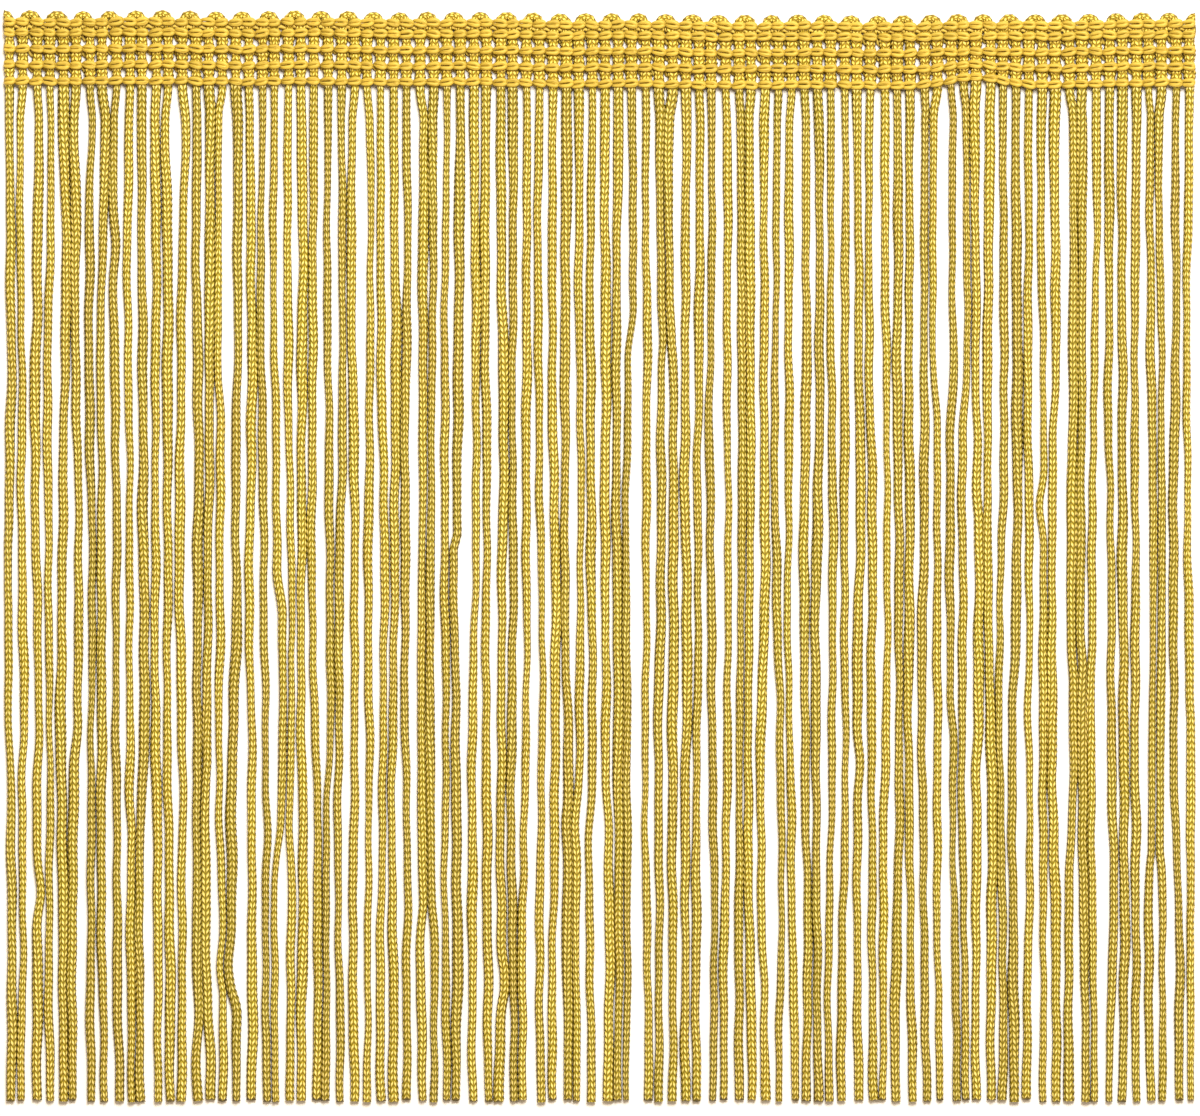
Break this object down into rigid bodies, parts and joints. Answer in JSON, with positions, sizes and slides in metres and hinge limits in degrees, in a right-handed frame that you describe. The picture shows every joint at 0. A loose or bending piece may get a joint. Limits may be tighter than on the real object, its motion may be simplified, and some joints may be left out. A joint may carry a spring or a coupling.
{
  "type": "fringe trim",
  "caption": "Golden yellow chainette fringe trim: a scalloped heading of chain-stitch rows with long knitted cord strands, lying flat.",
  "frame": {"origin": "middle of the trim's outline, on the surface that it lies on", "axes": "+X along the heading, +Y from the strand ends to the scalloped edge, +Z out of the face"},
  "size_m": [0.1662, 0.1523, 0.0017],
  "materials": {
    "heading_yarn": "smooth bright viscose yarn, chain stitched",
    "fringe_cord": "satin viscose cord, knitted tube"
  },
  "bodies": {
    "root": {"heading": "heading_yarn", "fringe": "fringe_cord"}
  },
  "joints": []
}
